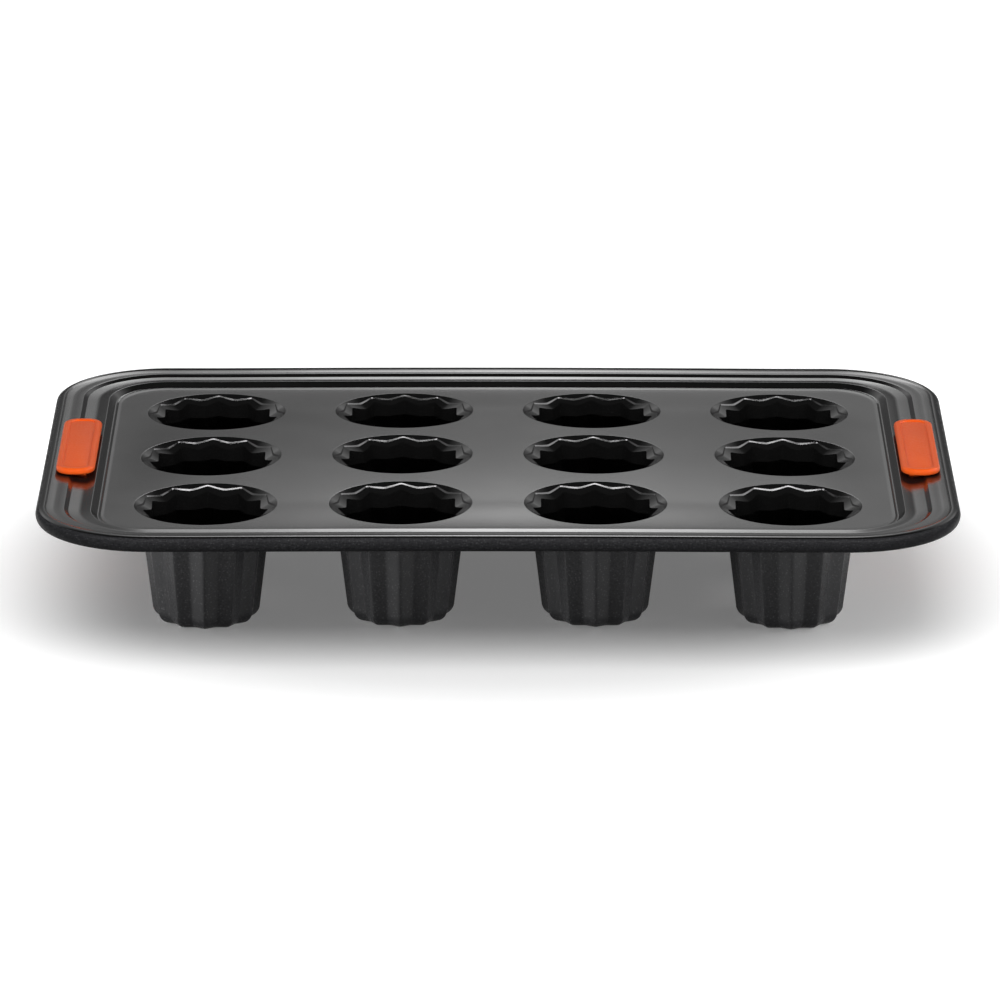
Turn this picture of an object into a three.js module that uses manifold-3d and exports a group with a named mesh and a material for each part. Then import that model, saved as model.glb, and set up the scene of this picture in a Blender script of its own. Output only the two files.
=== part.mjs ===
// A twelve-cup canele pan. A pressed steel tray has a crowned web and a stepped rim that is curled
// round a wire. Twelve drawn, fluted cups lap over collars under the web's mouths, and a silicone
// grip is pushed through a slot in each side flange.
// Millimetres, +Z up. X runs along the pan, -Y is the front. The four corner cups stand on z = 0.

import * as THREE from 'three';
import { mergeVertices } from 'three/addons/utils/BufferGeometryUtils.js';
import Module from 'manifold-3d';

const wasm = await Module();
wasm.setup();

// Pattern of the cups, with the width of sheet left between and outside the mouths
const columns = 4;
const rows = 3;
const columnBridge = 23.1;
const rowBridge = 12.1;
const endBridge = 12.2;
const sideBridge = 3.2;

// Sheet, seams and clearances
const sheet = 0.8;
const seamClearance = 0.3;
const wireClearance = 0.3;
const gripClearance = 0.3;

// Cups: a twelve-pointed star drawn to a taper, with a rounded edge round a flat base.
// The ridge radius is inside, carried up to the top of the web.
const fluteCount = 12;
const cupDepth = 50.8;
const ridgeRadius = 28;
const fluteDepth = 2.6;
const taperDegrees = 7;
const baseRounding = 6;

// Mouths: a lip that turns down from a circle into a fluted collar, which the cup's neck laps over
const lipReach = 2.8;
const collarLength = 4;
const neckGap = 0.6;

// Web: the flat between the cups, crowned so that it keeps its shape in the oven
const webCorner = 20;
const crownLong = 1.2;
const crownShort = 0.9;

// Rim, from the web outwards: a gutter, a riser, a ledge, a lower riser, a shelf and the curl
const gutterLip = 1;
const gutterFloor = 1.6;
const gutterDrop = 0.4;
const innerRiserRun = 4;
const ledgeHeight = 2.4;
const ledgeWidth = 6.2;
const outerRiserRun = 5.2;
const outerRise = 1;
const shelfWidth = 6;
const curlRadius = 3;
const curlRise = 0.6;
const curlEndDegrees = -150;
const riserSoftness = 0.4;

// Grips: a pad above the flange, a waist through the slot and a smaller pad below
const gripLength = 82;
const gripMargin = 0.2;
const gripEndFlat = 2.6;
const padEdge = 1.2;
const padSide = 0.6;
const panelBorder = 2.8;
const panelDepth = 0.5;
const padOverlap = 3.5;
const padEndOverlap = 8;
const underOverlap = 2;
const underEdge = 0.8;
const underSide = 0.8;

// Fineness of the facets
const cornerSteps = 5;
const curlSteps = 7;
const riserSteps = 3;
const wireSides = 6;
const outlineSteps = 2;

const coating = { color: 0x46474a, roughness: 0.34, metalness: 0.55 };
const cupCoating = { color: 0x2c2d2f, roughness: 0.42, metalness: 0.5 };
const steel = { color: 0x9a9da1, roughness: 0.4, metalness: 0.9 };
const silicone = { color: 0xe2703f, roughness: 0.6, metalness: 0 };

const { sin, cos, tan, atan2, asin, PI } = Math;
const radians = THREE.MathUtils.degToRad;

// Flute geometry: every star has the same proportions, so the walls are flat faces
const ringPoints = 2 * fluteCount;
const fluteHalfAngle = PI / fluteCount;
const valleyRatio = 1 - fluteDepth / ridgeRadius;
const faceTurn = atan2(1 - valleyRatio * cos(fluteHalfAngle), valleyRatio * sin(fluteHalfAngle));
const ridgeGrowth = (distance) => distance / cos(faceTurn);
const wallSlope = tan(radians(taperDegrees));
const ridgeAt = (depth) => ridgeRadius - depth * wallSlope;

// Lip: a curve from the level web to the slope of the wall, wider over the valleys than the ridges
const mouthRadius = ridgeRadius + lipReach;
const lipTurn = PI / 2 - radians(taperDegrees);
const lipCurve = (ratio) => {
  const reach = sin(lipTurn) - ratio * wallSlope * (1 - cos(lipTurn));
  return (mouthRadius - ratio * ridgeRadius) / reach;
};
const ridgeLip = lipCurve(1);
const valleyLip = lipCurve(valleyRatio);
const lipDepth = valleyLip * (1 - cos(lipTurn));
const collarDepth = lipDepth + collarLength;

// Places of the cups and of the rim
const columnPitch = 2 * mouthRadius + columnBridge;
const rowPitch = 2 * mouthRadius + rowBridge;
const outerColumn = ((columns - 1) / 2) * columnPitch;
const outerRow = ((rows - 1) / 2) * rowPitch;
const webHalfLength = outerColumn + mouthRadius + endBridge;
const webHalfDepth = outerRow + mouthRadius + sideBridge;
const riserStart = gutterLip + gutterFloor;
const ledgeStart = riserStart + innerRiserRun;
const ledgeEnd = ledgeStart + ledgeWidth;
const shelfEnd = ledgeEnd + outerRiserRun + shelfWidth;
const shelfHeight = ledgeHeight + outerRise;
const curlCentre = shelfEnd + curlRadius;
const curlHeight = shelfHeight + curlRise - curlRadius;

// The flange that a grip covers, and the slot that its waist goes through
const gripX = webHalfLength + (ledgeStart + shelfEnd) / 2;
const gripWidth = shelfEnd - ledgeStart - 2 * gripMargin;
const gripCorner = (gripWidth - gripEndFlat) / 2;
const slotWidth = gripWidth - 2 * padOverlap;
const slotLength = gripLength - 2 * padEndOverlap;

// A closed surface of shared points. Rings run anticlockwise seen from above, and bands follow a
// section anticlockwise round its material, so that all faces point out.
class Surface {
  constructor() {
    this.points = [];
    this.faces = [];
  }

  point(x, y, z) {
    this.points.push(x, y, z);
    return this.points.length / 3 - 1;
  }

  ring(places) {
    return places.map(([x, y, z]) => this.point(x, y, z));
  }

  band(from, to) {
    from.forEach((start, i) => {
      const next = (i + 1) % from.length;
      this.faces.push(start, from[next], to[next], start, to[next], to[i]);
    });
  }

  bands(rings) {
    rings.slice(1).forEach((ring, i) => this.band(rings[i], ring));
  }

  fanFrom(centre, ring) {
    ring.forEach((start, i) => this.faces.push(centre, ring[(i + 1) % ring.length], start));
  }

  fanTo(ring, centre) {
    ring.forEach((start, i) => this.faces.push(start, ring[(i + 1) % ring.length], centre));
  }

  geometry() {
    const geometry = new THREE.BufferGeometry();
    geometry.setAttribute('position', new THREE.Float32BufferAttribute(this.points, 3));
    geometry.setIndex(this.faces);
    return geometry;
  }
}

function solidOf(geometry) {
  const bare = geometry.clone();
  bare.deleteAttribute('normal');
  bare.deleteAttribute('uv');
  const merged = mergeVertices(bare);
  const vertProperties = new Float32Array(merged.attributes.position.array);
  const triVerts = new Uint32Array(merged.index.array);
  return new wasm.Manifold(new wasm.Mesh({ numProp: 3, vertProperties, triVerts }));
}

function geometryOf(solid) {
  const mesh = solid.getMesh();
  const geometry = new THREE.BufferGeometry();
  geometry.setAttribute('position', new THREE.BufferAttribute(mesh.vertProperties, mesh.numProp));
  geometry.setIndex(new THREE.BufferAttribute(mesh.triVerts, 1));
  return geometry;
}

function pieceOf(name, geometry, look) {
  const finished = geometry.toNonIndexed();
  finished.computeVertexNormals();
  const piece = new THREE.Mesh(finished, new THREE.MeshStandardMaterial(look));
  piece.name = name;
  return piece;
}

// Rings round a cup's axis: a star at a depth below the web's top face, and a ring part of the way
// round the lip's turn, on its top face or inset from it
function star(ridge, depth) {
  return Array.from({ length: ringPoints }, (_, i) => {
    const angle = i * fluteHalfAngle;
    const radius = i % 2 ? ridge * valleyRatio : ridge;
    return [radius * cos(angle), radius * sin(angle), -depth];
  });
}

function lipRing(turn, inset) {
  return Array.from({ length: ringPoints }, (_, i) => {
    const angle = i * fluteHalfAngle;
    const curve = i % 2 ? valleyLip : ridgeLip;
    const radius = mouthRadius - (curve - inset) * sin(turn);
    const depth = curve - (curve - inset) * cos(turn);
    return [radius * cos(angle), radius * sin(angle), -depth];
  });
}

const cupPlaces = [];
for (let row = 0; row < rows; row += 1) {
  for (let column = 0; column < columns; column += 1) {
    const x = column * columnPitch - outerColumn;
    const y = row * rowPitch - outerRow;
    const rise = crownLong * (1 - (x / outerColumn) ** 2) + crownShort * (1 - (y / outerRow) ** 2);
    cupPlaces.push({ name: `cup_row${row + 1}_column${column + 1}`, x, y, z: cupDepth + rise });
  }
}

// Rim section: points run outwards from the web's edge, with heights above the web's edge
function riser(start, run, low, high) {
  const reach = run * riserSoftness;
  const curve = new THREE.CubicBezierCurve(
    new THREE.Vector2(start, low),
    new THREE.Vector2(start + reach, low),
    new THREE.Vector2(start + run - reach, high),
    new THREE.Vector2(start + run, high),
  );
  return curve.getPoints(riserSteps);
}

function rimTopLine() {
  const curlStart = PI - asin((curlRadius - curlRise) / curlRadius);
  const curlEnd = radians(curlEndDegrees);
  const line = [new THREE.Vector2(0, 0), new THREE.Vector2(gutterLip, -gutterDrop)];
  line.push(...riser(riserStart, innerRiserRun, -gutterDrop, ledgeHeight));
  line.push(...riser(ledgeEnd, outerRiserRun, ledgeHeight, shelfHeight));
  for (let i = 0; i <= curlSteps; i += 1) {
    const angle = curlStart + ((curlEnd - curlStart) * i) / curlSteps;
    const outside = curlCentre + curlRadius * cos(angle);
    line.push(new THREE.Vector2(outside, curlHeight + curlRadius * sin(angle)));
  }
  return line;
}

// The other face of the sheet: every point moved square to the line, the first straight down
function sheetUnder(line) {
  return line.map((point, i) => {
    if (i === 0) return new THREE.Vector2(point.x, point.y - sheet);
    const before = point.clone().sub(line[i - 1]).normalize();
    const after = i + 1 < line.length ? line[i + 1].clone().sub(point).normalize() : before;
    const along = before.clone().add(after).normalize();
    const stretch = sheet / along.dot(before);
    return new THREE.Vector2(point.x + along.y * stretch, point.y - along.x * stretch);
  });
}

// A loop round the pan at a distance outside the web's edge, with a height above it
function rimLoop(outside, height) {
  const loop = [];
  for (let quarter = 0; quarter < 4; quarter += 1) {
    const signX = quarter === 0 || quarter === 3 ? 1 : -1;
    const signY = quarter < 2 ? 1 : -1;
    for (let i = 0; i <= cornerSteps; i += 1) {
      const angle = (quarter + i / cornerSteps) * (PI / 2);
      const radius = webCorner + outside;
      const x = signX * (webHalfLength - webCorner) + radius * cos(angle);
      const y = signY * (webHalfDepth - webCorner) + radius * sin(angle);
      loop.push([x, y, cupDepth + height]);
    }
  }
  return loop;
}

// The lip and the fluted collar of one mouth, from the web's top face round to its under face
function mouthRings() {
  const turns = [0, lipTurn / 2, lipTurn];
  return [
    ...turns.map((turn) => lipRing(turn, 0)),
    star(ridgeAt(collarDepth), collarDepth),
    star(ridgeAt(collarDepth) + ridgeGrowth(sheet), collarDepth),
    ...turns.toReversed().map((turn) => lipRing(turn, sheet)),
  ];
}

function webTriangles(contour, holes) {
  const flat = (loop) => loop.map(([x, y]) => new THREE.Vector2(x, y));
  const outline = flat(contour);
  const inner = holes.map(flat);
  const all = [outline, ...inner].flat();
  return THREE.ShapeUtils.triangulateShape(outline, inner).map(([a, b, c]) => {
    const area = THREE.ShapeUtils.area([all[a], all[b], all[c]]);
    return area > 0 ? [a, b, c] : [a, c, b];
  });
}

function slotSolid(x) {
  const reach = shelfHeight + curlRadius;
  const slot = slab(slotWidth, slotLength, slotWidth / 2, -reach, 2 * reach, 0);
  return solidOf(slot.translate(x, 0, cupDepth));
}

function trayPlate() {
  const tray = new Surface();
  const top = rimTopLine();
  const section = [...sheetUnder(top), ...top.slice().reverse()];
  const rimRings = section.map((point) => tray.ring(rimLoop(point.x, point.y)));
  tray.bands(rimRings);

  const mouths = cupPlaces.map(({ x, y, z }) => {
    const rings = mouthRings().map((ring) => ring.map((p) => [p[0] + x, p[1] + y, p[2] + z]));
    const placed = rings.map((ring) => tray.ring(ring));
    tray.bands(placed);
    return { outline: rings[0], top: placed[0], under: placed[placed.length - 1] };
  });

  const edge = rimLoop(0, 0);
  const triangles = webTriangles(edge, mouths.map((mouth) => mouth.outline));
  const topPoints = [rimRings[rimRings.length - 1], ...mouths.map((mouth) => mouth.top)].flat();
  const underPoints = [rimRings[0], ...mouths.map((mouth) => mouth.under)].flat();
  triangles.forEach(([a, b, c]) => {
    tray.faces.push(topPoints[a], topPoints[b], topPoints[c]);
    tray.faces.push(underPoints[a], underPoints[c], underPoints[b]);
  });

  const slotted = solidOf(tray.geometry()).subtract(slotSolid(gripX)).subtract(slotSolid(-gripX));
  return pieceOf('tray_plate', geometryOf(slotted), coating);
}

function rimWire() {
  const radius = curlRadius - sheet - wireClearance;
  const wire = new Surface();
  const rings = Array.from({ length: wireSides }, (_, i) => {
    const angle = (2 * PI * i) / wireSides;
    return wire.ring(rimLoop(curlCentre + radius * cos(angle), curlHeight + radius * sin(angle)));
  });
  wire.bands([...rings, rings[0]]);
  return pieceOf('rim_wire', wire.geometry(), steel);
}

// Cup section, from the middle of the base out, up the outside, over the neck and down the inside.
// The neck is wider than the wall below it, so that it laps over the tray's collar.
function cup({ name, x, y, z }) {
  const wall = ridgeGrowth(sheet);
  const neckDepth = lipDepth + neckGap;
  const seatDepth = collarDepth + seamClearance;
  const shoulderDepth = seatDepth + sheet;
  const neckGrowth = wall + ridgeGrowth(seamClearance);
  const floorDepth = cupDepth - sheet;
  const insideRounding = baseRounding - sheet;
  const rounding = (growth, radius, bottom, turn) => {
    const ridge = ridgeAt(bottom - radius) + growth - radius * (1 - cos(turn));
    return star(ridge, bottom - radius * (1 - sin(turn)));
  };
  const turns = [PI / 2, PI / 4, 0];
  const places = [
    ...turns.map((turn) => rounding(wall, baseRounding, cupDepth, turn)),
    star(ridgeAt(shoulderDepth) + wall, shoulderDepth),
    star(ridgeAt(seatDepth) + neckGrowth + wall, seatDepth),
    star(ridgeAt(neckDepth) + neckGrowth + wall, neckDepth),
    star(ridgeAt(neckDepth) + neckGrowth, neckDepth),
    star(ridgeAt(seatDepth) + neckGrowth, seatDepth),
    star(ridgeAt(seatDepth), seatDepth),
    ...turns.toReversed().map((turn) => rounding(0, insideRounding, floorDepth, turn)),
  ];
  const shell = new Surface();
  const rings = places.map((ring) => shell.ring(ring));
  shell.fanFrom(shell.point(0, 0, -cupDepth), rings[0]);
  shell.bands(rings);
  shell.fanTo(rings[rings.length - 1], shell.point(0, 0, -floorDepth));
  const piece = pieceOf(name, shell.geometry(), cupCoating);
  piece.position.set(x, y, z);
  return piece;
}

function roundedOutline(width, length, corner) {
  const x = width / 2 - corner;
  const y = length / 2 - corner;
  const outline = new THREE.Shape();
  outline.absarc(x, y, corner, 0, PI / 2);
  outline.absarc(-x, y, corner, PI / 2, PI);
  outline.absarc(-x, -y, corner, PI, 1.5 * PI);
  outline.absarc(x, -y, corner, 1.5 * PI, 2 * PI);
  return outline;
}

// A slab with the given outline and softened edges, standing on a height
function slab(width, length, corner, bottom, thickness, edge) {
  const outline = roundedOutline(width, length, corner);
  const geometry = new THREE.ExtrudeGeometry(outline, {
    depth: thickness - 2 * edge,
    bevelEnabled: edge > 0,
    bevelThickness: edge,
    bevelSize: edge,
    bevelOffset: -edge,
    bevelSegments: 2,
    curveSegments: outlineSteps,
  });
  return geometry.translate(0, 0, bottom + edge);
}

function grip(name, x) {
  const padBottom = shelfHeight + gripClearance;
  const padThickness = padSide + 2 * padEdge;
  const panelBottom = padBottom + padThickness - panelDepth;
  const panelWidth = gripWidth - 2 * panelBorder;
  const panelLength = gripLength - 2 * panelBorder;
  const underThickness = underSide + 2 * underEdge;
  const underBottom = ledgeHeight - sheet - gripClearance - underThickness;
  const underWidth = slotWidth + 2 * underOverlap;
  const underLength = slotLength + 2 * underOverlap;
  const waistWidth = slotWidth - 2 * gripClearance;
  const waistLength = slotLength - 2 * gripClearance;
  const waistBottom = underBottom + underThickness / 2;
  const waistHeight = padBottom + padThickness / 2 - waistBottom;
  const pad = slab(gripWidth, gripLength, gripCorner, padBottom, padThickness, padEdge);
  const panel = slab(panelWidth, panelLength, gripCorner - panelBorder, panelBottom, padThickness, 0);
  const under = slab(underWidth, underLength, underWidth / 2, underBottom, underThickness, underEdge);
  const waist = slab(waistWidth, waistLength, waistWidth / 2, waistBottom, waistHeight, 0);
  const whole = solidOf(pad).subtract(solidOf(panel)).add(solidOf(waist)).add(solidOf(under));
  const piece = pieceOf(name, geometryOf(whole), silicone);
  piece.position.set(x, 0, cupDepth);
  return piece;
}

const pan = new THREE.Group();
pan.add(trayPlate());
pan.add(rimWire());
cupPlaces.forEach((place) => pan.add(cup(place)));
pan.add(grip('grip_left', -gripX));
pan.add(grip('grip_right', gripX));

export default pan;
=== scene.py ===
# %% [markdown]
# # A twelve-cup canele pan
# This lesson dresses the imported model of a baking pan: a coated steel tray with twelve deep fluted
# cups and two silicone grips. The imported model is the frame. Every piece below is made in the same
# place and size, with the soft edges and finishes that the plain solids leave out.

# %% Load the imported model
import math

import bmesh
import bpy
import numpy as np
from mathutils import Matrix, Vector


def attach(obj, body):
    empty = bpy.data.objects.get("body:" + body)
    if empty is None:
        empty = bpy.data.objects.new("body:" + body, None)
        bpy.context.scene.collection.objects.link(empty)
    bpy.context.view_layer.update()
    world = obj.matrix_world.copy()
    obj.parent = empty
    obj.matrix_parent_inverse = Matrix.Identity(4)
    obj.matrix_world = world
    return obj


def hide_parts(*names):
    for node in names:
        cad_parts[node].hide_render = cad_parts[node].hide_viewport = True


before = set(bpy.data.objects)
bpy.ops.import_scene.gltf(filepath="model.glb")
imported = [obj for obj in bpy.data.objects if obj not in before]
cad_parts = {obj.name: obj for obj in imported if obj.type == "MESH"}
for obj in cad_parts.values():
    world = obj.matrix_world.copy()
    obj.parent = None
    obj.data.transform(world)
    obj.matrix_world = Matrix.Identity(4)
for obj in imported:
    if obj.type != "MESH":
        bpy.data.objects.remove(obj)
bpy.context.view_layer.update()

MM = 0.001
print("packed nodes:", len(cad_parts))

# %% [markdown]
# ## Camera
# The pan was photographed with a long lens from a little above, so its sides hardly converge. The
# camera stands at the distance and angle that put the twelve mouths where the photograph has them.
# A matrix of its right, up and backward directions sets the turn.

# %% Camera
CAMERA_PLACE = Vector((-2.5, -3421.8, 1037.6)) * MM
CAMERA_YAW, CAMERA_PITCH, CAMERA_ROLL = 0.0010, 0.2860, 0.0013
CAMERA_LENS, SENSOR_WIDTH = 289.44, 36.0
CLIP_NEAR, CLIP_FAR = 0.1, 50.0


def make_camera():
    """Place the photograph's camera and make it the scene's."""
    forward = Vector((math.sin(CAMERA_YAW) * math.cos(CAMERA_PITCH),
                      math.cos(CAMERA_YAW) * math.cos(CAMERA_PITCH),
                      -math.sin(CAMERA_PITCH)))
    level = Vector((math.cos(CAMERA_YAW), -math.sin(CAMERA_YAW), 0))
    above = level.cross(forward)
    right = level * math.cos(CAMERA_ROLL) + above * math.sin(CAMERA_ROLL)
    up = above * math.cos(CAMERA_ROLL) - level * math.sin(CAMERA_ROLL)
    camera = bpy.data.objects.new("camera", bpy.data.cameras.new("camera"))
    camera.data.lens = CAMERA_LENS
    camera.data.sensor_width = SENSOR_WIDTH
    camera.data.clip_start, camera.data.clip_end = CLIP_NEAR, CLIP_FAR
    turn = Matrix((right, up, -forward)).transposed().to_4x4()
    camera.matrix_world = Matrix.Translation(CAMERA_PLACE) @ turn
    bpy.context.scene.collection.objects.link(camera)
    bpy.context.scene.camera = camera


make_camera()
bpy.context.scene.view_settings.view_transform = "Standard"
print("camera", round(CAMERA_PLACE.length, 2), "m from the pan, lens", CAMERA_LENS, "mm")

# %% [markdown]
# ## Sizes
# The same sizes as in the solids, in millimetres: the grid of cups, the star section of the flutes,
# the lip of each mouth and the margins of the web. Everything else is worked out from these, so the
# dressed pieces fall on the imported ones. Only the folds of the lips and the finer steps of the rim
# are added further down.

# %% Sizes of the pan
COLUMNS, ROWS = 4, 3
COLUMN_GAP, ROW_GAP = 23.1, 12.1
END_MARGIN, SIDE_MARGIN, WEB_CORNER = 12.2, 3.2, 20.0
SHEET = 0.8
FLUTES = 12
CUP_DEPTH = 50.8
RIDGE_RADIUS, FLUTE_DEPTH = 28.0, 2.6
LEAN = math.radians(7)
BASE_ROUNDING = 6.0
LIP_REACH, COLLAR_LENGTH = 2.8, 4.0
NECK_GAP, LAP_GAP, SEAM = 0.6, 0.3, 0.05
CROWN_LONG, CROWN_SHORT = 1.2, 0.9

HALF_FLUTE = math.pi / FLUTES
VALLEY_RATIO = 1 - FLUTE_DEPTH / RIDGE_RADIUS
FACE_TURN = math.atan2(1 - VALLEY_RATIO * math.cos(HALF_FLUTE),
                       VALLEY_RATIO * math.sin(HALF_FLUTE))
MOUTH_RADIUS = RIDGE_RADIUS + LIP_REACH
LIP_TURN = math.pi / 2 - LEAN


def ridge_at(depth):
    """Inside radius of the ridges at a depth below the web."""
    return RIDGE_RADIUS - depth * math.tan(LEAN)


def lip_curve(ratio):
    """Radius of the solid lip's turn where the wall stands at this ratio of the ridge radius."""
    reach = math.sin(LIP_TURN) - ratio * math.tan(LEAN) * (1 - math.cos(LIP_TURN))
    return (MOUTH_RADIUS - ratio * RIDGE_RADIUS) / reach


LIP_DEPTH = lip_curve(VALLEY_RATIO) * (1 - math.cos(LIP_TURN))
COLLAR_DEPTH = LIP_DEPTH + COLLAR_LENGTH
COLUMN_PITCH = 2 * MOUTH_RADIUS + COLUMN_GAP
ROW_PITCH = 2 * MOUTH_RADIUS + ROW_GAP
OUTER_COLUMN = (COLUMNS - 1) / 2 * COLUMN_PITCH
OUTER_ROW = (ROWS - 1) / 2 * ROW_PITCH
WEB_X = OUTER_COLUMN + MOUTH_RADIUS + END_MARGIN
WEB_Y = OUTER_ROW + MOUTH_RADIUS + SIDE_MARGIN
print("pitch", round(COLUMN_PITCH, 2), "x", round(ROW_PITCH, 2),
      "mouth radius", round(MOUTH_RADIUS, 2))

# %% [markdown]
# ## Helpers for meshes
# Pressed sheet is easiest as rings: each ring is a closed line of points, and neighbouring rings
# are joined by a band of faces. Of the tray only the upper face is drawn. A Solidify modifier then
# gives the steel its 0.8 mm, which keeps both faces parallel round every bend.

# %% Rings, bands and sheet thickness
MERGE_DISTANCE = 0.002


def joined(patches):
    """Points and faces of several (points, faces) patches, as one pair."""
    points, faces, start = [], [], 0
    for patch_points, patch_faces in patches:
        points.append(patch_points)
        faces.append(patch_faces + start)
        start += len(patch_points)
    return np.concatenate(points), np.concatenate(faces)


def bands(rings):
    """Faces between rings of equal length, each ring an array of points in millimetres."""
    count = len(rings[0])
    here = np.arange(count)
    after = (here + 1) % count
    faces = [np.stack([here, after, after + count, here + count], axis=1) + i * count
             for i in range(len(rings) - 1)]
    return np.concatenate(rings), np.concatenate(faces)


def end_caps(rings):
    """One face that closes the first ring and one that closes the last."""
    count = len(rings[0])
    last = (len(rings) - 1) * count
    return [list(range(count))[::-1], list(range(last, last + count))]


def mesh_object(name, points, faces, materials, caps=()):
    """A smooth mesh object at the origin, with doubled points merged."""
    mesh = bpy.data.meshes.new(name)
    mesh.from_pydata((points * MM).tolist(), [], faces.tolist() + list(caps))
    shaped = bmesh.new()
    shaped.from_mesh(mesh)
    bmesh.ops.remove_doubles(shaped, verts=shaped.verts, dist=MERGE_DISTANCE * MM)
    shaped.to_mesh(mesh)
    shaped.free()
    mesh.shade_smooth()
    for material in materials:
        mesh.materials.append(material)
    made = bpy.data.objects.new(name, mesh)
    bpy.context.scene.collection.objects.link(made)
    return made


def settle(made, sharp_degrees=50):
    """Turn an object and its modifiers into a plain mesh, with hard edges kept hard."""
    graph = bpy.context.evaluated_depsgraph_get()
    graph.update()
    mesh = bpy.data.meshes.new_from_object(made.evaluated_get(graph))
    made.modifiers.clear()
    made.data = mesh
    mesh.shade_smooth()
    mesh.set_sharp_from_angle(angle=math.radians(sharp_degrees))
    mesh.calc_loop_triangles()
    print(made.name, "has", len(mesh.loop_triangles), "triangles")
    return made


def thicken(made, thickness, shell_offset):
    """Give a one-faced sheet its thickness, below the face that was drawn."""
    solid = made.modifiers.new("sheet", "SOLIDIFY")
    solid.thickness = thickness * MM
    solid.offset = -1
    solid.use_even_offset = True
    solid.use_quality_normals = True
    solid.material_offset = shell_offset
    solid.material_offset_rim = shell_offset
    return settle(made)


# %% [markdown]
# ## Helpers for materials
# Colours are written as sRGB hex values and turned to linear light once. One small function adds a
# node. The short ones after it name what the finishes below use again and again, so each finish
# reads as a list of what feeds what. Sizes of grain are in millimetres.


# %% Colour and node helpers
def linear(code):
    """Linear RGBA of an sRGB hex code."""
    parts = [int(code[i:i + 2], 16) / 255 for i in (1, 3, 5)]
    return tuple(v / 12.92 if v <= 0.04045 else ((v + 0.055) / 1.055) ** 2.4
                 for v in parts) + (1.0,)


def add(tree, kind, feeds=None, **settings):
    """Add a node, set its attributes, and set or link its sockets by name or number."""
    node = tree.nodes.new(kind)
    for name, value in settings.items():
        setattr(node, name, value)
    for socket, value in (feeds or {}).items():
        if isinstance(value, bpy.types.NodeSocket):
            tree.links.new(value, node.inputs[socket])
        else:
            node.inputs[socket].default_value = value
    return node


def maths(tree, operation, *values, **settings):
    feeds = dict(enumerate(values))
    return add(tree, "ShaderNodeMath", feeds, operation=operation, **settings).outputs[0]


def noise(tree, place, size, detail):
    feeds = {"Vector": place, "Scale": 1 / (size * MM), "Detail": detail}
    return add(tree, "ShaderNodeTexNoise", feeds).outputs["Fac"]


def remap(tree, value, given, wanted, **settings):
    """A value moved from one (low, high) range to another."""
    feeds = {"Value": value, "From Min": given[0], "From Max": given[1],
             "To Min": wanted[0], "To Max": wanted[1]}
    return add(tree, "ShaderNodeMapRange", feeds, **settings).outputs["Result"]


def mix(tree, share, first, second, blend="MIX"):
    feeds = {0: share, 6: first, 7: second}
    return add(tree, "ShaderNodeMix", feeds, data_type="RGBA", blend_type=blend).outputs[2]


def bump(tree, height, strength, distance):
    feeds = {"Height": height, "Strength": strength, "Distance": distance * MM}
    return add(tree, "ShaderNodeBump", feeds).outputs["Normal"]


def new_material(name):
    """An empty node material, its tree and the place that its textures read."""
    material = bpy.data.materials.new(name)
    material.use_nodes = True
    tree = material.node_tree
    tree.nodes.clear()
    return material, tree, add(tree, "ShaderNodeTexCoord").outputs["Object"]


def principled(material, feeds):
    """End a material in one Principled shader."""
    tree = material.node_tree
    shader = add(tree, "ShaderNodeBsdfPrincipled", feeds)
    add(tree, "ShaderNodeOutputMaterial", {"Surface": shader.outputs["BSDF"]})
    return material


# %% [markdown]
# ## Non-stick top coat
# The food side is a PTFE non-stick coat, sprayed on carbon steel and baked. It is a black film with
# a satin gloss: it looks grey only where it mirrors pale surroundings at a shallow angle. Sprayed
# films dry with a faint orange peel about 2 mm across and a little patchiness in the gloss.

# %% Non-stick top coat
PATCH, PEEL, GRIT = 35, 2.2, 0.5


def ptfe_top_coat(name, colour, rough_low, rough_high):
    material, tree, place = new_material(name)
    clouds = noise(tree, place, PATCH, 3.0)
    peel = noise(tree, place, PEEL, 2.0)
    grit = noise(tree, place, GRIT, 1.0)
    gloss = remap(tree, clouds, (0.35, 0.65), (rough_low, rough_high))
    tone = remap(tree, grit, (0.3, 0.7), (0.8, 1.25))
    film = mix(tree, 1.0, linear(colour), tone, blend="MULTIPLY")
    height = maths(tree, "MULTIPLY_ADD", grit, 0.25, peel)
    relief = bump(tree, height, strength=0.25, distance=0.004)
    return principled(material, {"Base Color": film, "Roughness": gloss, "IOR": 1.5,
                                 "Normal": relief})


tray_coat = ptfe_top_coat("ptfe_non_stick_tray", "#050505", 0.13, 0.17)
cup_coat = ptfe_top_coat("ptfe_non_stick_cup", "#080808", 0.1, 0.13)
print("top coats:", tray_coat.name, cup_coat.name)

# %% [markdown]
# ## Speckled outer coat
# The outside has a cheaper heat-resistant spray coat. It dries rough, with fine grains that stand
# proud and catch the light, so the walls look like dark cast iron. The grains are about 0.8 mm
# across and the flecks 1.3 mm apart, a little coarser than real ones so that they show from where
# the camera stands.

# %% Speckled outer coat
GRAIN, FLECK_GAP = 0.8, 1.3


def speckled_outer_coat(name, dark, light, fleck, level):
    material, tree, place = new_material(name)
    grains = noise(tree, place, GRAIN, 1.0)
    dots = add(tree, "ShaderNodeTexVoronoi", {"Vector": place, "Scale": 1 / (FLECK_GAP * MM)})
    flecks = remap(tree, dots.outputs["Distance"], (0.12, 0.3), (1.0, 0.0))
    tone = remap(tree, grains, (0.3, 0.7), (0.0, 1.0))
    film = mix(tree, tone, linear(dark), linear(light))
    speckled = mix(tree, flecks, film, linear(fleck))
    gloss = remap(tree, grains, (0.3, 0.7), (0.52, 0.28))
    height = maths(tree, "MULTIPLY_ADD", flecks, 0.4, grains)
    relief = bump(tree, height, strength=0.8, distance=0.03)
    return principled(material, {"Base Color": speckled, "Roughness": gloss,
                                 "Specular IOR Level": level, "Normal": relief})


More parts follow.
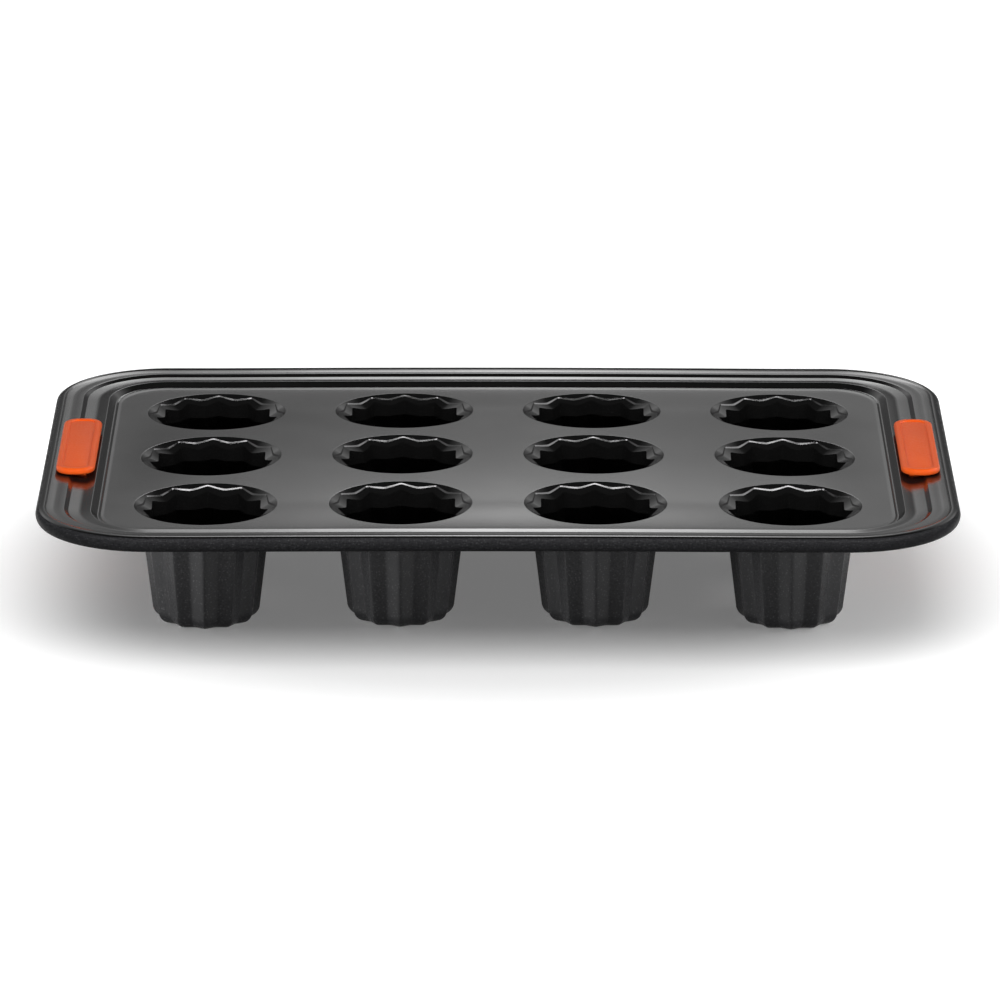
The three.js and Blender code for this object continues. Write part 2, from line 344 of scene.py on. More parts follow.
tray_outer_coat = speckled_outer_coat("speckled_outer_coat_tray",
                                      "#0b0b0c", "#161617", "#202021", 0.02)
cup_outer_coat = speckled_outer_coat("speckled_outer_coat_cup",
                                     "#0a0a0b", "#171718", "#262627", 0.18)
print("outer coats:", tray_outer_coat.name, cup_outer_coat.name)

# %% [markdown]
# ## Tray
# The tray is one pressed sheet with a slightly crowned web. Each mouth drops over a sloping band
# and a steep scalloped step to a shelf, and from the shelf a steep fluted collar runs down into the
# cup. The rim climbs in two steps to a curl. The mesh is made by rule: each cup has its own cell of
# the web, rings run from the mouth out to the cell's edge, and the outer edges of the cells carry
# the rim's section all round.

# %% Height of the web and the star section
CELL_STEPS = 24
EDGE_LOSS = 0.62
DOME_EASE = 0.01
FLUTE_SHARPNESS, FLUTE_CROWDING = 0.96, 0.4


def smoothstep(value, low, high):
    t = np.clip((value - low) / (high - low), 0, 1)
    return t * t * (3 - 2 * t)


def dome(ratio):
    """1 - ratio squared, eased to nothing outside 1."""
    t = 1 - ratio ** 2
    return (t + np.sqrt(t * t + DOME_EASE)) / 2


def crown(x, y):
    """Height of the web above its edge. It is lost towards the rim."""
    side = 1 - EDGE_LOSS * smoothstep(np.abs(y), OUTER_ROW, WEB_Y)
    end = 1 - smoothstep(np.abs(x), OUTER_COLUMN, WEB_X)
    return (CROWN_LONG * dome(x / OUTER_COLUMN) * side
            + CROWN_SHORT * dome(y / OUTER_ROW) * end)


def cup_rise(x, y):
    """Height of a cup's seat above that of a corner cup."""
    return (CROWN_LONG * (1 - (x / OUTER_COLUMN) ** 2)
            + CROWN_SHORT * (1 - (y / OUTER_ROW) ** 2))


def flute_angles(per_flute):
    """Angles round a cup, closer together on the ridges and in the valleys."""
    turn = np.arange(FLUTES * per_flute) * 2 * math.pi / per_flute
    return (turn - FLUTE_CROWDING * np.sin(2 * turn)) / FLUTES


def star_ratio(angles):
    """Radius of the star against its ridges: flat faces, small rounds on ridges and valleys."""
    wave = np.arcsin(FLUTE_SHARPNESS * np.cos(FLUTES * angles)) / math.asin(FLUTE_SHARPNESS)
    fold = HALF_FLUTE * (1 - wave) / 2
    return (VALLEY_RATIO * math.sin(HALF_FLUTE)
            / (np.sin(fold) + VALLEY_RATIO * np.sin(HALF_FLUTE - fold)))


def ring_at(angles, radius, depth):
    return np.stack([radius * np.cos(angles), radius * np.sin(angles), -depth], axis=1)


def star_ring(angles, ridge, depth):
    return ring_at(angles, ridge * star_ratio(angles), np.full_like(angles, depth))


print("crown in the middle", round(float(crown(0.0, 0.0)), 2), "mm")

# %% Edge of the web
SPAN_X, SPAN_Y = WEB_X - WEB_CORNER, WEB_Y - WEB_CORNER


def line_points(start, end, steps):
    t = np.arange(steps)[:, None] / steps
    return np.array(start) + (np.array(end) - np.array(start)) * t


def arc_points(centre, first, last, steps):
    angles = first + (last - first) * np.arange(steps) / steps
    return np.array(centre) + WEB_CORNER * np.stack([np.cos(angles), np.sin(angles)], axis=1)


def web_edge():
    """Points round the web from the middle of the back right corner, with outward normals."""
    half = CELL_STEPS // 2
    points = []
    signs = [(1, 1), (-1, 1), (-1, -1), (1, -1)]
    for quarter, (sign_x, sign_y) in enumerate(signs):
        next_x, next_y = signs[(quarter + 1) % 4]
        along_x = quarter % 2 == 0
        cells = COLUMNS if along_x else ROWS
        inner = (cells - 2) * (COLUMN_PITCH if along_x else ROW_PITCH)
        first = (quarter + 0.5) * math.pi / 2
        last = (quarter + 1) * math.pi / 2
        centre = np.array([sign_x * SPAN_X, sign_y * SPAN_Y])
        after = np.array([next_x * SPAN_X, next_y * SPAN_Y])
        out = np.array([math.cos(last), math.sin(last)]) * WEB_CORNER
        ahead = (after - centre) / np.linalg.norm(after - centre)
        middle = (centre + after) / 2 + out
        stops = [centre + out, middle - ahead * inner / 2, middle + ahead * inner / 2, after + out]
        points.append(arc_points(centre, first, last, half))
        points.append(line_points(stops[0], stops[1], half))
        points.append(line_points(stops[1], stops[2], (cells - 2) * CELL_STEPS))
        points.append(line_points(stops[2], stops[3], half))
        points.append(arc_points(after, last, last + math.pi / 4, half))
    points = np.concatenate(points)
    inside = np.clip(points, [-SPAN_X, -SPAN_Y], [SPAN_X, SPAN_Y])
    return points, (points - inside) / WEB_CORNER


edge_points, edge_out = web_edge()
edge_height = CUP_DEPTH + crown(edge_points[:, 0], edge_points[:, 1])
print("edge of the web has", len(edge_points), "points")

# %% [markdown]
# A pressed section is a row of bends. Each bend is written as the slope that it turns to, in
# degrees, its radius, the straight run after it and the number of steps. The rim has one section
# for the long sides and one for the ends, and passes from one to the other round the corners.

# %% Section of the rim
SLOT_IN, SLOT_OUT, SLOT_HALF = 10.3, 20.3, 33.0
SIDE_BENDS = [(0.5, 20, 0.2, 1), (5, 6, 0.8, 2), (-13, 1.2, 0.5, 3), (0, 1, 0.3, 3),
              (45, 1.1, 2.4, 4), (-7, 1, 3.4, 4), (6, 9, 3.9, 4), (30, 1, 1.5, 3),
              (0, 1, 3.9, 3), (8, 9, 2, 2)]
END_BENDS = [(0.5, 20, 3, 1), (5, 6, 2.5, 2), (-13, 1.2, 0.5, 3), (0, 1, 0.3, 3),
             (45, 1.1, 1.9, 4), (-7, 1, 2.6, 4), (6, 9, 2.6, 4), (30, 1, 1.6, 3),
             (2, 1, 1.7, 3), (8, 9, 2.6, 2)]
CURL_START = [(25.6, 3.72), (26, 3.9), (26.15, 3.93), (27.3, 3.81)]
CURL_RADIUS, CURL_OUT, CURL_UP, CURL_STRETCH = 2.96, 27.0, 0.86, 1.32
CURL_FIRST, CURL_LAST, CURL_POINTS = 79, -150, 22


def bent_line(bends):
    """Points of a pressed section from (0, 0)."""
    points, slope = [np.zeros(2)], 0.0
    for degrees, radius, run, steps in bends:
        target = math.radians(degrees)
        length = radius * abs(target - slope) / steps
        for k in range(steps):
            angle = slope + (target - slope) * (k + 0.5) / steps
            points.append(points[-1] + length * np.array([math.cos(angle), math.sin(angle)]))
        if run:
            points.append(points[-1] + run * np.array([math.cos(target), math.sin(target)]))
        slope = target
    return np.array(points)


def rim_section(bends):
    """Distance outside the web's edge and height above it, up to the end of the curl."""
    steps = bent_line(bends)
    out = np.sort(np.append(steps[:, 0], [SLOT_IN, SLOT_OUT]))
    section = list(zip(out, np.interp(out, steps[:, 0], steps[:, 1]))) + CURL_START
    for angle in np.radians(np.linspace(CURL_FIRST, CURL_LAST, CURL_POINTS)):
        rise = CURL_RADIUS * math.sin(angle) * (CURL_STRETCH if angle < 0 else 1)
        section.append((CURL_OUT + CURL_RADIUS * math.cos(angle), CURL_UP + rise))
    return np.array(section)


def rim_patch():
    """The rim as rings, from the end of the curl in to the web."""
    side_section, end_section = rim_section(SIDE_BENDS), rim_section(END_BENDS)
    towards_end = edge_out[:, 1:] ** 2
    rings = []
    for side, end in zip(side_section[::-1], end_section[::-1]):
        placed = side + (end - side) * towards_end
        flat = edge_points + edge_out * placed[:, :1]
        rings.append(np.column_stack([flat, edge_height + placed[:, 1]]))
    return bands(rings)


print("rim section of", len(rim_section(SIDE_BENDS)), "points")

# %% Cells of the web and their mouths
WEB_STEPS = (1, 0.75, 0.5, 0.25, 0.02)
MOUTH_EDGE = MOUTH_RADIUS + 0.4
LIP_RIDGE = bent_line([(-28, 0.5, 0.8, 3), (-57, 0.3, 0.55, 3), (-27, 0.3, 2.89, 3)])
LIP_VALLEY = bent_line([(-30, 0.5, 2.8, 3), (-57, 0.3, 0.8, 3), (-26, 0.2, 3.68, 3)])
SHELF_LIFT = 0.6


def cell_edge(column, row):
    """The closed edge of one cup's cell of the web, from its back right corner."""
    x = [(column + i - COLUMNS / 2) * COLUMN_PITCH for i in (0, 1)]
    y = [(row + i - ROWS / 2) * ROW_PITCH for i in (0, 1)]
    firsts = np.cumsum([0, COLUMNS, ROWS, COLUMNS]) * CELL_STEPS
    outside = [row == ROWS - 1, column == 0, row == 0, column == COLUMNS - 1]
    place = [COLUMNS - 1 - column, ROWS - 1 - row, column, row]
    corners = [(x[1], y[1]), (x[0], y[1]), (x[0], y[0]), (x[1], y[0])]
    edges, starts = [], []
    for side in range(4):
        first = firsts[side] + place[side] * CELL_STEPS
        chosen = edge_points[np.arange(first, first + CELL_STEPS) % len(edge_points)]
        edges.append(chosen if outside[side] else None)
    for side in range(4):
        before = (side + 3) % 4
        if outside[side]:
            starts.append(edges[side][0])
        elif outside[before]:
            first = firsts[before] + (place[before] + 1) * CELL_STEPS
            starts.append(edge_points[first % len(edge_points)])
        else:
            starts.append(np.array(corners[side]))
    for side in range(4):
        if edges[side] is None:
            edges[side] = line_points(starts[side], starts[(side + 1) % 4], CELL_STEPS)
    return np.concatenate(edges)


def mouth_rings(x, y, seat, angles):
    """Rings of one mouth, from the web over the lip to the end of the fluted collar."""
    share = (star_ratio(angles) - VALLEY_RATIO) / (1 - VALLEY_RATIO)
    centre = np.array([x, y, seat])
    lip = LIP_VALLEY[:, :, None] + (LIP_RIDGE - LIP_VALLEY)[:, :, None] * share
    rings = [ring_at(angles, MOUTH_EDGE - reach, -height) + centre for reach, height in lip]
    lift = CUP_DEPTH + crown(rings[0][:, 0], rings[0][:, 1]) - seat
    for ring in rings[:-1]:
        ring[:, 2] += lift
    rings[-1][:, 2] += SHELF_LIFT * lift
    rings.append(star_ring(angles, ridge_at(COLLAR_DEPTH), COLLAR_DEPTH) + centre)
    return rings


def web_cell(column, row):
    """One cell of the web with its mouth, from the cell's edge to the end of the collar."""
    x = column * COLUMN_PITCH - OUTER_COLUMN
    y = row * ROW_PITCH - OUTER_ROW
    edge = cell_edge(column, row)
    angles = np.roll(flute_angles(4 * CELL_STEPS // FLUTES), -(CELL_STEPS // 2))
    mouth = mouth_rings(x, y, CUP_DEPTH + cup_rise(x, y), angles)
    rings = []
    for t in WEB_STEPS:
        flat = mouth[0][:, :2] + (edge - mouth[0][:, :2]) * t
        rings.append(np.column_stack([flat, CUP_DEPTH + crown(flat[:, 0], flat[:, 1])]))
    return bands(rings + mouth)


print("lip of", len(LIP_RIDGE), "rings round each mouth")

# %% [markdown]
# The slots for the grips are left open. The outside of the curl has the outer coat, and so has the
# underside: the Solidify modifier gives it the next finish in the list.

# %% Tray sheet
SKIRT_OUT = CURL_OUT + 3 * math.cos(math.radians(58))
CURL_INNER, CURL_TOP = 20, CUP_DEPTH + 2.4


def tray_sheet():
    """The upper face of the whole tray, without the slots for the grips."""
    cells = [web_cell(column, row) for row in range(ROWS) for column in range(COLUMNS)]
    points, faces = joined([rim_patch()] + cells)
    middle = points[faces].mean(axis=1)
    out = np.abs(middle[:, 0]) - WEB_X
    slot = (out > SLOT_IN) & (out < SLOT_OUT) & (np.abs(middle[:, 1]) < SLOT_HALF)
    coats = [tray_coat, tray_outer_coat, tray_outer_coat]
    return mesh_object("tray_sheet", points, faces[~slot], coats)


def coat_curl(made):
    """Give the outside and the underside of the curl the outer coat."""
    for face in made.data.polygons:
        centre = face.center / MM
        inside = Vector((min(max(centre.x, -SPAN_X), SPAN_X),
                         min(max(centre.y, -SPAN_Y), SPAN_Y)))
        out = (centre.xy - inside).length - WEB_CORNER
        below = out > CURL_INNER and centre.z < CURL_TOP
        face.material_index = 1 if out > SKIRT_OUT or below else 0


tray = tray_sheet()
coat_curl(tray)
thicken(tray, SHEET, 1)

# %% [markdown]
# ## Cups
# A canele cup is a deep drawn thimble with a twelve-pointed star section, so each wall is a flat
# facet that leans in by seven degrees. One cup is drawn as rings of the star, up the outside and
# down the inside. The twelve cups then come from Geometry Nodes: a grid of points, lifted along the
# crown of the web, with the cup placed on each point. Changing the pitch or the counts there moves
# the whole set.

# %% One fluted cup
POINTS_PER_FLUTE = 16
BASE_SHARES = (0.05, 0.4, 0.75)
BASE_DEGREES = (90, 78, 65, 52, 39, 26, 13)
SHOULDER, SHOULDER_CLEAR = 1.4, 3.0
SEAT = COLLAR_DEPTH + SEAM
NECK_TOP = LIP_DEPTH + NECK_GAP
WALL = SHEET / math.cos(FACE_TURN)
LAP = (SHEET + LAP_GAP) / math.cos(FACE_TURN)


def cup_outside():
    """Ridge radius and depth up the outside, from the base to the top of the neck."""
    low = CUP_DEPTH - BASE_ROUNDING
    edge = ridge_at(low) + WALL - BASE_ROUNDING
    line = [(edge * share, CUP_DEPTH) for share in BASE_SHARES]
    line += [(edge + BASE_ROUNDING * math.cos(a), low + BASE_ROUNDING * math.sin(a))
             for a in np.radians(BASE_DEGREES)]
    line += [(ridge_at(d) + WALL, d) for d in np.linspace(low, SEAT + SHOULDER_CLEAR, 4)]
    for t in np.linspace(0, 1, 5):
        depth = SEAT + SHOULDER * (1 - t)
        line.append((ridge_at(depth) + WALL + LAP * smoothstep(t, 0, 1), depth))
    return line + [(ridge_at(NECK_TOP) + WALL + LAP, NECK_TOP)]


def cup_inside():
    """Ridge radius and depth down the inside, from the top of the neck to the base."""
    floor, bend = CUP_DEPTH - SHEET, BASE_ROUNDING - SHEET
    edge = ridge_at(floor - bend) - bend
    line = [(ridge_at(d) + LAP, d) for d in (NECK_TOP, SEAT)]
    line += [(ridge_at(d), d) for d in np.linspace(SEAT, floor - bend, 5)]
    line += [(edge + bend * math.cos(a), floor - bend + bend * math.sin(a))
             for a in np.radians(BASE_DEGREES[::-1])]
    return line + [(edge * share, floor) for share in BASE_SHARES[::-1]]


def one_cup():
    """One cup at the origin, with its outside faces marked for the outer coat."""
    angles = flute_angles(POINTS_PER_FLUTE)
    outside, inside = cup_outside(), cup_inside()
    rings = [star_ring(angles, ridge, depth) for ridge, depth in outside + inside]
    made = mesh_object("cup_pattern", *bands(rings), [cup_outer_coat, cup_coat], end_caps(rings))
    sprayed = np.arange(len(made.data.polygons)) < len(angles) * (len(outside) - 1)
    sprayed[-2] = True  # the cap under the base
    flag = made.data.attributes.new("outside", "BOOLEAN", "FACE")
    flag.data.foreach_set("value", sprayed)
    return settle(made, sharp_degrees=40)


cup = one_cup()

# %% Twelve cups on a crowned grid
CUP_SET = {"Columns": ("Int", COLUMNS), "Rows": ("Int", ROWS),
           "Column Pitch": ("Float", COLUMN_PITCH * MM), "Row Pitch": ("Float", ROW_PITCH * MM),
           "Seat Height": ("Float", CUP_DEPTH * MM),
           "Crown Long": ("Float", CROWN_LONG * MM), "Crown Short": ("Float", CROWN_SHORT * MM),
           "Cup": ("Object", cup), "Inside": ("Material", cup_coat),
           "Outside": ("Material", cup_outer_coat)}


def cup_set_tree():
    """A node group that places a cup on each point of a crowned grid."""
    tree = bpy.data.node_groups.new("cup_set", "GeometryNodeTree")
    face = tree.interface
    face.new_socket("Geometry", in_out="OUTPUT", socket_type="NodeSocketGeometry")
    for name, (kind, _) in CUP_SET.items():
        face.new_socket(name, in_out="INPUT", socket_type="NodeSocket" + kind)
    given = add(tree, "NodeGroupInput").outputs

    def reach(count, pitch):
        return maths(tree, "MULTIPLY", maths(tree, "SUBTRACT", given[count], 1.0), given[pitch])

    def rise(place, length, crown_name):
        square = maths(tree, "POWER", maths(tree, "DIVIDE", place, length), 2.0)
        rest = maths(tree, "MULTIPLY_ADD", square, -4.0, 1.0)
        return maths(tree, "MULTIPLY", rest, given[crown_name])

    long, short = reach("Columns", "Column Pitch"), reach("Rows", "Row Pitch")
    grid = add(tree, "GeometryNodeMeshGrid",
               {"Size X": long, "Size Y": short,
                "Vertices X": given["Columns"], "Vertices Y": given["Rows"]})
    place = add(tree, "ShaderNodeSeparateXYZ",
                {0: add(tree, "GeometryNodeInputPosition").outputs[0]}).outputs
    rises = maths(tree, "ADD", rise(place["X"], long, "Crown Long"),
                  rise(place["Y"], short, "Crown Short"))
    lift = add(tree, "ShaderNodeCombineXYZ", {"Z": maths(tree, "ADD", rises, given["Seat Height"])})
    seats = add(tree, "GeometryNodeSetPosition",
                {"Geometry": grid.outputs["Mesh"], "Offset": lift.outputs[0]})
    cup_shape = add(tree, "GeometryNodeObjectInfo", {"Object": given["Cup"]})
    placed = add(tree, "GeometryNodeInstanceOnPoints",
                 {"Points": seats.outputs["Geometry"], "Instance": cup_shape.outputs["Geometry"]})
    real = add(tree, "GeometryNodeRealizeInstances", {"Geometry": placed.outputs["Instances"]})
    coated = add(tree, "GeometryNodeSetMaterial",
                 {"Geometry": real.outputs[0], "Material": given["Inside"]})
    where = add(tree, "GeometryNodeInputNamedAttribute", {"Name": "outside"}, data_type="BOOLEAN")
    sprayed = add(tree, "GeometryNodeSetMaterial",
                  {"Geometry": coated.outputs[0], "Material": given["Outside"],
                   "Selection": where.outputs["Attribute"]})
    add(tree, "NodeGroupOutput", {"Geometry": sprayed.outputs[0]})
    return tree


def cup_set():
    """The twelve cups as one object."""
    made = bpy.data.objects.new("fluted_cups", bpy.data.meshes.new("fluted_cups"))
    bpy.context.scene.collection.objects.link(made)
    nodes = made.modifiers.new("cup_set", "NODES")
    nodes.node_group = cup_set_tree()
    for item in nodes.node_group.interface.items_tree:
        if item.in_out == "INPUT":
            nodes[item.identifier] = CUP_SET[item.name][1]
    return settle(made)


cups = cup_set()
bpy.data.objects.remove(cup)

# %% [markdown]
# ## Grips
# Each grip is one piece of moulded silicone, pushed through a slot in the flange. The part that
# shows is a long pad with round ends, a soft edge and a shallow panel sunk into its top. It is made
# of rounded rectangles that shrink and step as they go over the edge, which keeps the band of
# rubber round the panel even all the way. A waist and a foot below the flange hold it.


# %% Moulded silicone
def moulded_silicone():
    """Satin orange rubber: colour all the way through, a fine mould grain, dust-dull sheen."""
    material, tree, place = new_material("moulded_silicone")
    clouds = noise(tree, place, 14, 3.0)
    grain = noise(tree, place, 0.7, 3.0)
    tone = mix(tree, clouds, linear("#d8500f"), linear("#e25a16"))
    gloss = remap(tree, grain, (0.3, 0.7), (0.42, 0.55))
    relief = bump(tree, grain, strength=0.4, distance=0.04)
    return principled(material, {"Base Color": tone, "Roughness": gloss,
                                 "Subsurface Weight": 0.15, "Subsurface Radius": (1.0, 0.35, 0.1),
                                 "Subsurface Scale": 1.5 * MM, "Normal": relief})


silicone = moulded_silicone()
print("grips:", silicone.name)

# %% Grip pads
GRIP_X = WEB_X + 15.3
PAD_WIDTH, PAD_LENGTH, PAD_CORNER, PAD_EDGE = 8.5, 41.0, 7.2, 1.2  # half sizes
PAD_BOTTOM, PAD_TOP = CUP_DEPTH + 3.7, CUP_DEPTH + 6.7
PANEL = [(2.55, 0.0), (2.72, 0.06), (2.84, 0.22), (2.9, 0.44),
         (2.98, 0.55), (3.25, 0.6), (3.6, 0.5)]  # inset and drop
WAIST_WIDTH, WAIST_LENGTH, WAIST_CORNER = 4.7, 32.7, 2.0
FOOT_WIDTH, FOOT_LENGTH, FOOT_EDGE, FOOT_MIDDLE = 7, 35, 0.8, 3.0
FOOT_BOTTOM, FOOT_TOP = CUP_DEPTH - 1.1, CUP_DEPTH + 1.3
CORNER_EASE = 0.01


def rounded_ring(x, half_width, half_length, corner, height):
    """A rounded rectangle with a fixed number of points, seen from above anticlockwise."""
    points = []
    for quarter in range(4):
        sign_x = 1 if quarter in (0, 3) else -1
        sign_y = 1 if quarter < 2 else -1
        for angle in (quarter + np.linspace(0, 1, 13)) * math.pi / 2:
            points.append((x + sign_x * (half_width - corner) + corner * math.cos(angle),
                           sign_y * (half_length - corner) + corner * math.sin(angle), height))
    return np.array(points)


def soft_side(edge, bottom, top):
    """Inset and height up a side with rounded edges, from the underside to the top."""
    rounds = np.radians(np.linspace(0, 90, 6))
    inset, short = edge * (1 - np.cos(rounds)), edge * (1 - np.sin(rounds))
    return [*zip(inset[::-1], bottom + short[::-1]), *zip(inset, top - short)]


def grip_rings(x):
    """Rings of one grip, from the middle of its foot up to the panel in its pad."""
    foot = [(FOOT_MIDDLE, FOOT_BOTTOM)] + soft_side(FOOT_EDGE, FOOT_BOTTOM, FOOT_TOP)
    pad = soft_side(PAD_EDGE, PAD_BOTTOM, PAD_TOP)
    pad += [(inset, PAD_TOP - drop) for inset, drop in PANEL]
    rings = [rounded_ring(x, FOOT_WIDTH - inset, FOOT_LENGTH - inset,
                          FOOT_WIDTH - inset - CORNER_EASE, height) for inset, height in foot]
    rings += [rounded_ring(x, WAIST_WIDTH, WAIST_LENGTH, WAIST_CORNER, height)
              for height in (FOOT_TOP, PAD_BOTTOM)]
    rings += [rounded_ring(x, PAD_WIDTH - inset, PAD_LENGTH - inset, PAD_CORNER - inset, height)
              for inset, height in pad]
    return rings


def grip_pad(name, x):
    rings = grip_rings(x)
    return settle(mesh_object(name, *bands(rings), [silicone], end_caps(rings)))


grips = [grip_pad("grip_pad_left", -GRIP_X), grip_pad("grip_pad_right", GRIP_X)]

# %% [markdown]
# ## Wire in the curl
# The curl is rolled round a drawn steel wire that keeps the rim stiff. Only a thin line of it shows
# from below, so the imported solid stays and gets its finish: bare steel with a fine uneven gloss.


# %% Drawn steel wire
def drawn_steel():
    """Bare drawn wire: grey metal with a fine grain and patchy gloss from the die."""
    material, tree, place = new_material("drawn_steel_wire")
    grain = noise(tree, place, 0.4, 3.0)
    tone = mix(tree, grain, linear("#7f8286"), linear("#a9acb0"))
    gloss = remap(tree, grain, (0.0, 1.0), (0.25, 0.45))
    return principled(material, {"Base Color": tone, "Metallic": 1.0, "Roughness": gloss})


wire = bpy.data.objects["rim_wire"]
wire.data.materials.clear()
wire.data.materials.append(drawn_steel())
print("wire:", wire.name)

# %% [markdown]
# ## Floor, world and lamps
# The pan stands on a plain white table under soft boxes. The table glows a little for the camera
# and in reflections. The glow is weaker in an oval round the pan, a painted shadow over the real one.

# %% Floor
FLOOR_REACH = 12.0
# Inside this oval round the pan the glow drops to its low level: a painted shadow.
PAINTED_SHADOW_PLACE, PAINTED_SHADOW_SCALE = (0, 0.1, 0), (4.7, 5.3, 1)
PAINTED_SHADOW_EDGE, GLOW = (0.75, 1.4), (0.16, 0.6)


def white_floor_with_painted_shadow():
    """White paint with a glow only camera and reflections see, dimmer round the pan: painted shadow.
    """
    material, tree, place = new_material("white_table_with_painted_shadow")
    light = add(tree, "ShaderNodeLightPath").outputs
    seen = maths(tree, "ADD", light["Is Camera Ray"], light["Is Glossy Ray"])
    seen = maths(tree, "ADD", seen, light["Is Transmission Ray"], use_clamp=True)
    oval = add(tree, "ShaderNodeMapping",
               {"Vector": place, "Location": PAINTED_SHADOW_PLACE, "Scale": PAINTED_SHADOW_SCALE})
    away = add(tree, "ShaderNodeVectorMath", {0: oval.outputs[0]}, operation="LENGTH")
    # Glow strength: low near the pan, which paints shade there, and high further out.
    white = remap(tree, away.outputs["Value"], PAINTED_SHADOW_EDGE, GLOW, interpolation_type="SMOOTHSTEP")
    paint = add(tree, "ShaderNodeBsdfDiffuse", {"Color": linear("#e8e8e8")})
    glow = add(tree, "ShaderNodeEmission",
               {"Color": (1, 1, 1, 1), "Strength": maths(tree, "MULTIPLY", seen, white)})
    both = add(tree, "ShaderNodeAddShader", {0: paint.outputs[0], 1: glow.outputs[0]})
    add(tree, "ShaderNodeOutputMaterial", {"Surface": both.outputs[0]})
    return material


floor_corners = [(FLOOR_REACH * x, FLOOR_REACH * y, 0)
                 for x, y in ((-1, -1), (1, -1), (1, 1), (-1, 1))]
floor_mesh = bpy.data.meshes.new("table")
floor_mesh.from_pydata(floor_corners, [], [(0, 1, 2, 3)])
floor_mesh.materials.append(white_floor_with_painted_shadow())
table = bpy.data.objects.new("table", floor_mesh)
bpy.context.scene.collection.objects.link(table)
print("table", 2 * FLOOR_REACH, "m wide")

# %% [markdown]
# The world is what the flat web mirrors, so its levels are the greys of the web. They change with
# height, are weaker away from the middle and fade towards the camera. Straight above the room is
# dim, which is what makes the coat look black in the cups.

# %% World
ROOM_LEVELS = ((0, 0.14), (0.22, 0.44), (0.29, 0.64), (0.35, 1.5), (0.5, 1.2), (0.62, 0.5),
               (0.72, 0.03))
ASIDE_LEVELS = ((0, 0.97), (0.1, 0.26), (0.18, 0.28), (0.32, 0.6))
ASIDE_MIDDLE = 0.015
BEHIND, BEHIND_LEVELS = (-0.1, 0.5), (0.04, 1.0)


def grey_ramp(tree, value, levels):
    """A grey for each value, between (value, level) stops."""
    ramp = add(tree, "ShaderNodeValToRGB", {"Fac": value})
    stops = ramp.color_ramp.elements
    while len(stops) < len(levels):
        stops.new(1.0)
    for stop, (position, level) in zip(stops, levels):
        stop.position, stop.color = position, (level, level, level, 1)
    return ramp.outputs["Color"]


def studio_world():
    """A grey room, made of ramps along the three directions."""
    world = bpy.data.worlds.new("studio")
    bpy.context.scene.world = world
    world.use_nodes = True
    tree = world.node_tree
    tree.nodes.clear()
    way = add(tree, "ShaderNodeSeparateXYZ",
              {0: add(tree, "ShaderNodeTexCoord").outputs["Generated"]}).outputs
    aside = maths(tree, "ABSOLUTE", maths(tree, "SUBTRACT", way["X"], ASIDE_MIDDLE))
    strength = maths(tree, "MULTIPLY", remap(tree, way["Y"], BEHIND, BEHIND_LEVELS),
                     grey_ramp(tree, aside, ASIDE_LEVELS))
    back = add(tree, "ShaderNodeBackground",
               {"Color": grey_ramp(tree, way["Z"], ROOM_LEVELS), "Strength": strength})
    add(tree, "ShaderNodeOutputWorld", {"Surface": back.outputs[0]})
    return world


print("world:", studio_world().name)

# %% [markdown]
# Light linking gives the tray, the cups and the table lamps of their own. The strips draw the
# bright lines of the lips on the tray, the kicks light the flutes of the cups from both sides, and
# the fills and boxes set the level of the rest. The strips and kicks are much stronger than a plain
# level, so the coats above are written darker than they look here.

# %% Lamps
WATTS_PER_LEVEL = 4  # for each square metre of the lamp's face
RIM = (0, 0, 0.05)
CUP_SIDE = (0, -0.05, 0.03)


def soft_box(name, place, aim, size, level, mirrored=True, only=()):
    """A rectangular lamp with a given brightness of its face.

    Some are kept out of reflections, and some light only the pieces that are named.
    """
    lamp = bpy.data.lights.new(name, "AREA")
    lamp.shape = "RECTANGLE"
    lamp.size, lamp.size_y = size
    lamp.energy = WATTS_PER_LEVEL * size[0] * size[1] * level
    made = bpy.data.objects.new(name, lamp)
    made.location = place
    made.rotation_mode = "QUATERNION"
    made.rotation_quaternion = (Vector(aim) - Vector(place)).to_track_quat("-Z", "Y")
    made.visible_camera = False
    made.visible_glossy = mirrored
    bpy.context.scene.collection.objects.link(made)
    if only:
        made.light_linking.receiver_collection = bpy.data.collections.new(name)
        for piece in only:
            made.light_linking.receiver_collection.objects.link(piece)


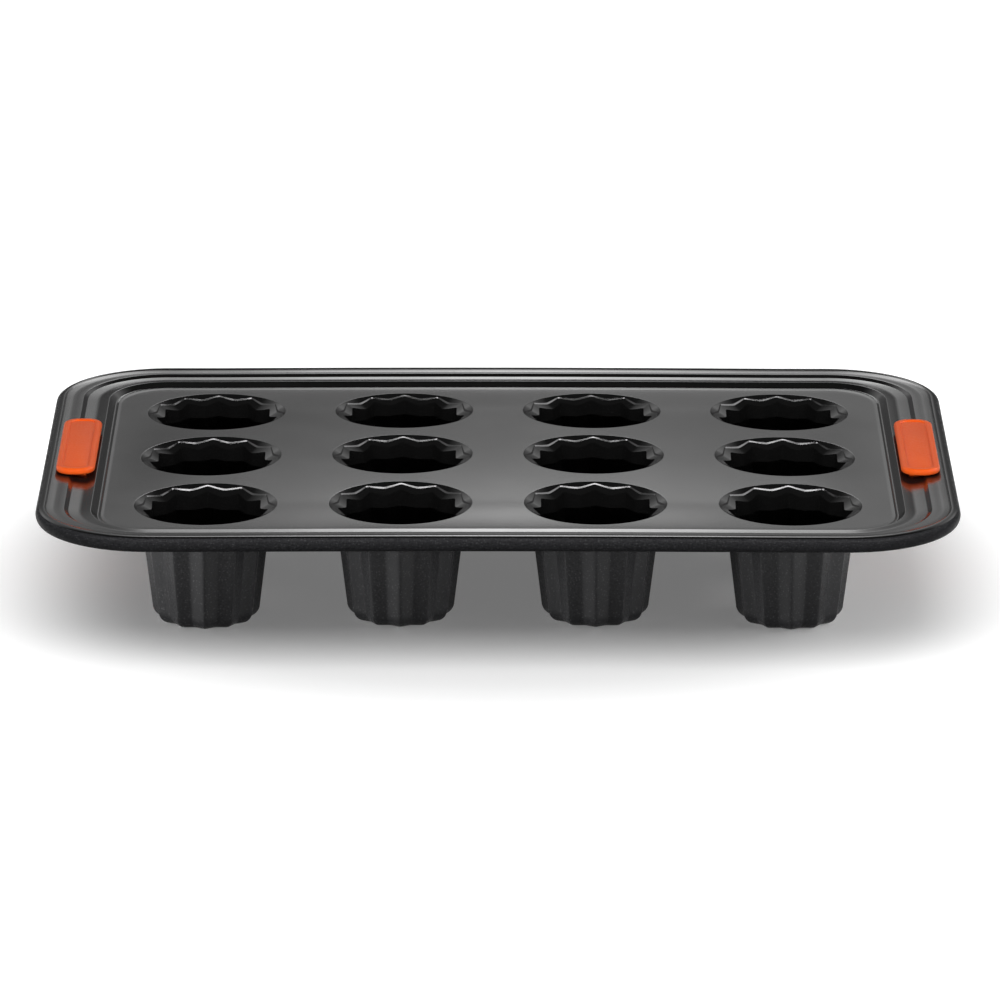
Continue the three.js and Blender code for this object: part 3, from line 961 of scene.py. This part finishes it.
topside = (tray, *grips)
soft_box("overhead_box", (0, 1.1, 2.0), (0, 0, 0), (2.8, 2.4), 0.25, mirrored=False)
soft_box("table_box", (-0.5, -0.85, 2.0), (-0.5, -0.85, 0), (2.8, 2.4), 1.6, mirrored=False,
         only=(table,))
for name, level, lit in (("front_fill", 7, topside), ("cup_fill", 1.5, (cups,))):
    soft_box(name, (0, -2.2, 0.5), (0, 0, 0.03), (2.0, 0.6), level, mirrored=False, only=lit)
soft_box("front_key", (0, -1.6, 1.97), RIM, (3.4, 0.4), 5.5, mirrored=False, only=topside)
soft_box("front_strip", (0, -1.5, 1.85), RIM, (3.4, 0.55), 17, only=(tray,))
for side in (-1, 1):
    soft_box("side_strip", (1.54 * side, -0.9, 1.65), RIM, (1.25, 0.6), 12, only=(tray,))
for width, behind in ((0.12, 2.0), (0.34, 2.02), (0.56, 2.04)):
    soft_box("back_strip", (0.01, behind, 1.33), (0.01, 0, 1.33), (width, 0.75), 1.1,
             only=(tray,))
soft_box("right_box", (1.7, -0.1, 1.0), RIM, (2.4, 0.6), 3.2)
soft_box("left_side", (-1.7, -0.1, 1.0), RIM, (2.4, 0.6), 0.7)
soft_box("left_box", (-1.2, -1.6, 0.9), RIM, (0.8, 0.5), 8, mirrored=False, only=topside)
soft_box("left_kick", (-1.3, -0.5, 0.12), CUP_SIDE, (0.8, 0.2), 85, only=(cups,))
soft_box("right_kick", (1.3, -0.6, 0.12), CUP_SIDE, (0.8, 0.2), 50, only=(cups,))

# %% [markdown]
# ## Hand the pieces to the frame
# Every piece rides on the pan's one body, and the imported solids that it stands for are hidden.

# %% Ride and replace
cup_nodes = [f"cup_row{row + 1}_column{column + 1}"
             for row in range(ROWS) for column in range(COLUMNS)]
for piece, slot, nodes in ((tray, "tray_coating", ["tray_plate"]), (cups, "cup_coating", cup_nodes),
                           (grips[0], "grip_silicone", ["grip_left"]),
                           (grips[1], "grip_silicone", ["grip_right"])):
    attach(piece, "root")
    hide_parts(*nodes)
